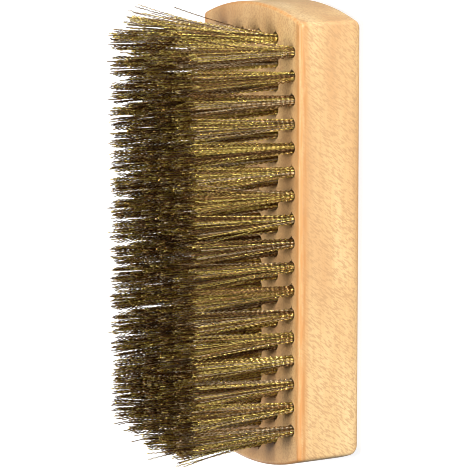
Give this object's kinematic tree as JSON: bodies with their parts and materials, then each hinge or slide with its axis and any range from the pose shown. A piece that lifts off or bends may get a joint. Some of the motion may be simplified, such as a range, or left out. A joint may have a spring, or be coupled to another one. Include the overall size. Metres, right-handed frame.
{
  "type": "wire block brush",
  "caption": "Wooden block hand brush with rows of crimped brass wire tufts on one face, lying on its flat back.",
  "frame": {"origin": "middle of the block's flat back, which it rests on", "axes": "+X along the block, +Y across it, +Z out of the back's opposite face, along the tufts"},
  "size_m": [0.12, 0.047, 0.0485],
  "materials": {
    "beech": "sanded bare beech, lightly burnished along the edges",
    "brass_wire": "bright drawn crimped wire with dark cut ends",
    "anchor_wire": "flat drawn wire"
  },
  "bodies": {
    "root": {"wooden_block": "beech", "anchors_row_1": "anchor_wire", "anchors_row_2": "anchor_wire", "anchors_row_3": "anchor_wire", "anchors_row_4": "anchor_wire", "anchors_row_5": "anchor_wire", "anchors_row_6": "anchor_wire", "tufts_row_1_group_1": "brass_wire", "tufts_row_1_group_2": "brass_wire", "tufts_row_1_group_3": "brass_wire", "tufts_row_1_group_4": "brass_wire", "tufts_row_1_group_5": "brass_wire", "tufts_row_1_group_6": "brass_wire", "tufts_row_2_group_1": "brass_wire", "tufts_row_2_group_2": "brass_wire", "tufts_row_2_group_3": "brass_wire", "tufts_row_2_group_4": "brass_wire", "tufts_row_2_group_5": "brass_wire", "tufts_row_2_group_6": "brass_wire", "tufts_row_3_group_1": "brass_wire", "tufts_row_3_group_2": "brass_wire", "tufts_row_3_group_3": "brass_wire", "tufts_row_3_group_4": "brass_wire", "tufts_row_3_group_5": "brass_wire", "tufts_row_3_group_6": "brass_wire", "tufts_row_4_group_1": "brass_wire", "tufts_row_4_group_2": "brass_wire", "tufts_row_4_group_3": "brass_wire", "tufts_row_4_group_4": "brass_wire", "tufts_row_4_group_5": "brass_wire", "tufts_row_4_group_6": "brass_wire", "tufts_row_5_group_1": "brass_wire", "tufts_row_5_group_2": "brass_wire", "tufts_row_5_group_3": "brass_wire", "tufts_row_5_group_4": "brass_wire", "tufts_row_5_group_5": "brass_wire", "tufts_row_5_group_6": "brass_wire", "tufts_row_6_group_1": "brass_wire", "tufts_row_6_group_2": "brass_wire", "tufts_row_6_group_3": "brass_wire", "tufts_row_6_group_4": "brass_wire", "tufts_row_6_group_5": "brass_wire", "tufts_row_6_group_6": "brass_wire"}
  },
  "joints": []
}
